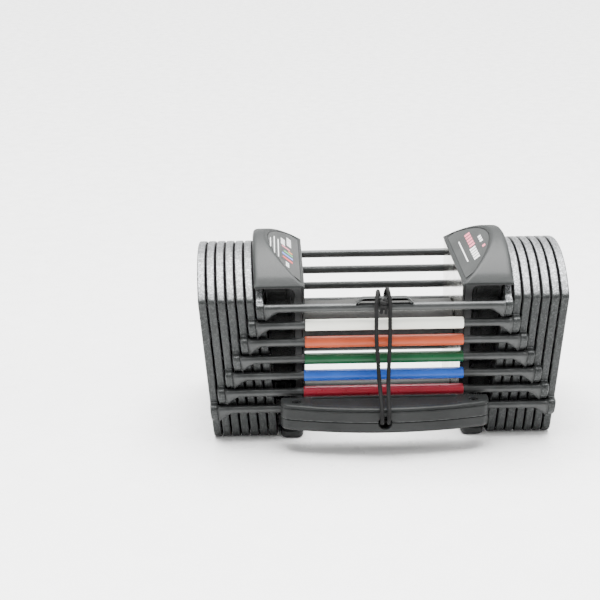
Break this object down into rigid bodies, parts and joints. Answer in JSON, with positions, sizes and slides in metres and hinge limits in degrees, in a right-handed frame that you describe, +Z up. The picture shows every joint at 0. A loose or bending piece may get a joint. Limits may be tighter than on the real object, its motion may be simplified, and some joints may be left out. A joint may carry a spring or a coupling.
{
  "type": "adjustable dumbbell",
  "caption": "Block-shaped adjustable dumbbell: nested plate-and-rail weights round a handle core with slotted columns, and a bowed selector pin on an elastic cord.",
  "frame": {"origin": "on the floor, under the centre of the bounding box of everything but the cord", "axes": "+X along the grip towards the right end, +Y away from the selector pin's handle, +Z up"},
  "size_m": [0.273, 0.1707, 0.1432],
  "materials": {
    "powder_coat": "satin speckled powder coat",
    "black_rod": "satin black",
    "black_nylon": "matte",
    "polished_cheek": "polished",
    "grey_cap": "satin moulded",
    "grey_label": "printed satin",
    "grip_rubber": "fine texture",
    "bare_steel": "satin",
    "pin_plastic": "satin moulded",
    "braided_cord": "braided",
    "sleeve_white": "satin",
    "sleeve_orange": "satin",
    "sleeve_green": "satin",
    "sleeve_blue": "satin",
    "sleeve_red": "satin"
  },
  "bodies": {
    "outer_weight": {"weight_7_left_plate": "powder_coat", "weight_7_right_plate": "powder_coat", "weight_7_front_rail": "black_rod", "weight_7_rear_rail": "black_rod"},
    "lifted_block": {"weight_1_left_plate": "powder_coat", "weight_1_right_plate": "powder_coat", "weight_1_front_rail": "black_rod", "weight_1_rear_rail": "black_rod", "weight_2_left_plate": "powder_coat", "weight_2_right_plate": "powder_coat", "weight_2_front_rail": "black_rod", "weight_2_rear_rail": "black_rod", "weight_3_left_plate": "powder_coat", "weight_3_right_plate": "powder_coat", "weight_3_front_rail": "black_rod", "weight_3_rear_rail": "black_rod", "weight_4_left_plate": "powder_coat", "weight_4_right_plate": "powder_coat", "weight_4_front_rail": "black_rod", "weight_4_rear_rail": "black_rod", "weight_5_left_plate": "powder_coat", "weight_5_right_plate": "powder_coat", "weight_5_front_rail": "black_rod", "weight_5_rear_rail": "black_rod", "weight_6_left_plate": "powder_coat", "weight_6_right_plate": "powder_coat", "weight_6_front_rail": "black_rod", "weight_6_rear_rail": "black_rod", "sleeve_white": "sleeve_white", "sleeve_orange": "sleeve_orange", "sleeve_green": "sleeve_green", "sleeve_blue": "sleeve_blue", "sleeve_red": "sleeve_red", "left_column": "black_nylon", "left_cheek": "polished_cheek", "left_foot_pad": "black_nylon", "left_cap": "grey_cap", "left_label": "grey_label", "right_column": "black_nylon", "right_cheek": "polished_cheek", "right_foot_pad": "black_nylon", "right_cap": "grey_cap", "right_label": "grey_label", "grip_core": "bare_steel", "lower_tube": "black_rod", "grip_sleeve": "grip_rubber", "cord_bail": "black_rod", "pin_cord": "braided_cord", "cord_knot": "braided_cord"},
    "selector_pin": {"pin_handle_upper": "pin_plastic", "pin_handle_lower": "pin_plastic", "pin_prong_left": "bare_steel", "pin_screw_left": "bare_steel", "pin_prong_right": "bare_steel", "pin_screw_right": "bare_steel"}
  },
  "joints": [
    {"name": "block_lift", "type": "slide", "parent": "outer_weight", "child": "lifted_block", "axis": [0, 0, 1], "range_m": [0, 0.14]},
    {"name": "pin_slide", "type": "slide", "parent": "lifted_block", "child": "selector_pin", "axis": [0, -1, 0], "range_m": [0, 0.15], "deforming": ["pin_cord"]}
  ]
}
